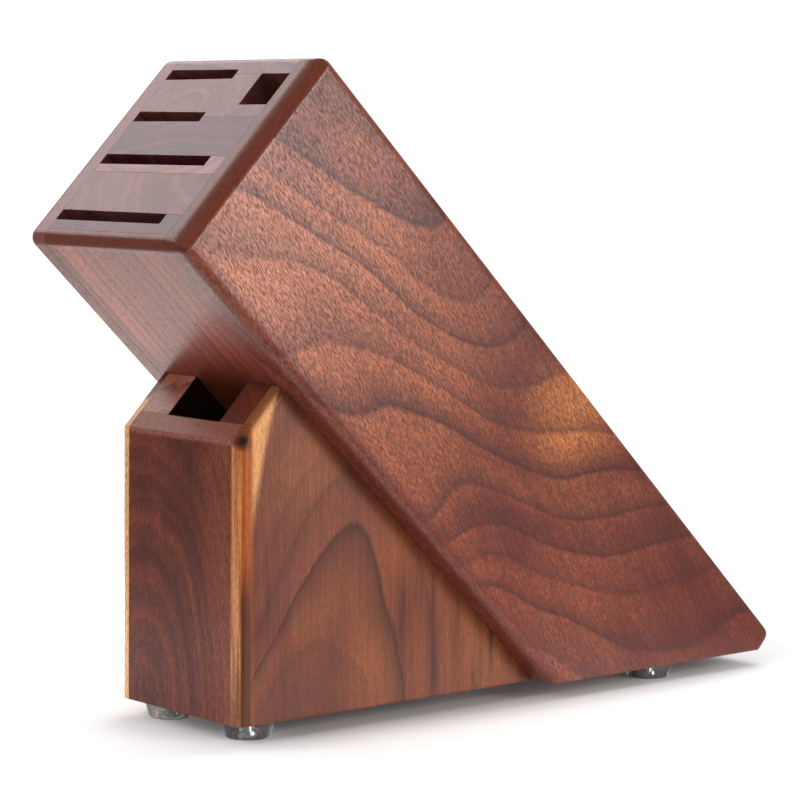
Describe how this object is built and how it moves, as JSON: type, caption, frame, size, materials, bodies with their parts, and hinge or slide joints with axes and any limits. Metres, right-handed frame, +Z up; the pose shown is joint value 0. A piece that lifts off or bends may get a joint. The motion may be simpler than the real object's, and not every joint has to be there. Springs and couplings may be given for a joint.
{
  "type": "knife block",
  "caption": "Tilted laminated walnut knife block with knife slots, a square honing steel channel and a front pocket for kitchen shears, on clear feet.",
  "frame": {"origin": "on the floor, under the middle of the block's bounding box", "axes": "+Z up, +X from the slot face back to the tail, -Y towards the side with the honing steel channel"},
  "size_m": [0.2868, 0.089, 0.2301],
  "materials": {
    "walnut_near_panel": "oiled satin walnut, flat-sawn",
    "walnut_far_panel": "oiled satin walnut, flat-sawn",
    "walnut_core_pale": "satin walnut, end grain on the slot face",
    "walnut_core_mauve": "satin walnut, darker, end grain on the slot face",
    "walnut_front_board": "satin dark heartwood walnut",
    "walnut_sapwood_panel": "satin walnut with a pale sapwood edge",
    "walnut_cheek": "satin walnut",
    "clear_plastic": "clear glossy plastic",
    "zinc_steel": "bright zinc-plated steel"
  },
  "bodies": {
    "root": {"near_side_panel": "walnut_near_panel", "far_side_panel": "walnut_far_panel", "underside_board": "walnut_core_pale", "lower_slot_board": "walnut_core_mauve", "heart_board": "walnut_core_pale", "long_slot_board": "walnut_core_pale", "middle_board": "walnut_core_mauve", "steel_board": "walnut_core_pale", "top_board": "walnut_core_pale", "near_front_panel": "walnut_sapwood_panel", "far_front_panel": "walnut_sapwood_panel", "front_board": "walnut_front_board", "near_cheek": "walnut_cheek", "far_cheek": "walnut_cheek", "near_front_foot": "clear_plastic", "near_front_foot_screw": "zinc_steel", "far_front_foot": "clear_plastic", "far_front_foot_screw": "zinc_steel", "near_rear_foot": "clear_plastic", "near_rear_foot_screw": "zinc_steel", "far_rear_foot": "clear_plastic", "far_rear_foot_screw": "zinc_steel"}
  },
  "joints": []
}
